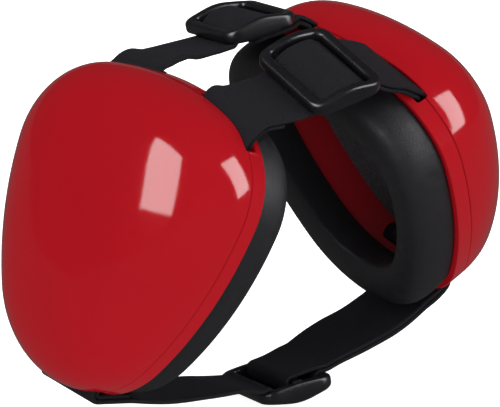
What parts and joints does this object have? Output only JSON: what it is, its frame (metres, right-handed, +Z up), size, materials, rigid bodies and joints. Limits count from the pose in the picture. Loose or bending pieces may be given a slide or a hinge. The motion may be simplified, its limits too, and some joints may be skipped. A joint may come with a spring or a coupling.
{
  "type": "ear muff",
  "caption": "Strap-held ear muff: two glossy domed cups with padded ring cushions, joined by elastic webbing straps with tri-glide sliders.",
  "frame": {"origin": "middle of the whole muff's box, between the two cups", "axes": "+X from the left cup to the right cup, -Y towards the wearer's face, +Z up towards the crown"},
  "size_m": [0.1666, 0.0888, 0.1156],
  "materials": {
    "red_plastic": "high gloss",
    "black_plastic": "satin",
    "cushion_skin": "matte soft vinyl",
    "foam": "open cell foam",
    "webbing": "woven elastic",
    "steel": "plain"
  },
  "bodies": {
    "straps": {"front_strap": "webbing", "rear_strap": "webbing", "chin_strap": "webbing"},
    "left_cup": {"left_outer_shell": "red_plastic", "left_rim_ring": "red_plastic", "left_cushion_plate": "red_plastic", "left_cushion_backing": "black_plastic", "left_cushion_foam": "foam", "left_cushion_cover": "cushion_skin", "left_foam_liner": "foam", "left_strap_bars": "steel", "left_plate_screws": "steel"},
    "right_cup": {"right_outer_shell": "red_plastic", "right_rim_ring": "red_plastic", "right_cushion_plate": "red_plastic", "right_cushion_backing": "black_plastic", "right_cushion_foam": "foam", "right_cushion_cover": "cushion_skin", "right_foam_liner": "foam", "right_strap_bars": "steel", "right_plate_screws": "steel"},
    "front_slider": {"front_slider": "black_plastic"},
    "rear_slider": {"rear_slider": "black_plastic"},
    "chin_slider": {"chin_slider": "black_plastic"}
  },
  "joints": [
    {"name": "left_cup_swing", "type": "hinge", "parent": "straps", "child": "left_cup", "pos_m": [-0.03565, 0, 0.03982], "axis": [0, 1, 0], "range_deg": [-6, 10], "stiffness_Nm_per_rad": 3, "deforming": ["front_strap", "rear_strap", "chin_strap"]},
    {"name": "right_cup_swing", "type": "hinge", "parent": "straps", "child": "right_cup", "pos_m": [0.03565, 0, 0.03982], "axis": [0, -1, 0], "range_deg": [-6, 10], "stiffness_Nm_per_rad": 3, "deforming": ["front_strap", "rear_strap", "chin_strap"]},
    {"name": "front_slider_slide", "type": "slide", "parent": "straps", "child": "front_slider", "axis": [1, 0, 0], "range_m": [-0.006, 0.006]},
    {"name": "rear_slider_slide", "type": "slide", "parent": "straps", "child": "rear_slider", "axis": [1, 0, 0], "range_m": [-0.01, 0.001]},
    {"name": "chin_slider_slide", "type": "slide", "parent": "straps", "child": "chin_slider", "axis": [1, 0, 0], "range_m": [-0.01, 0.006]}
  ]
}
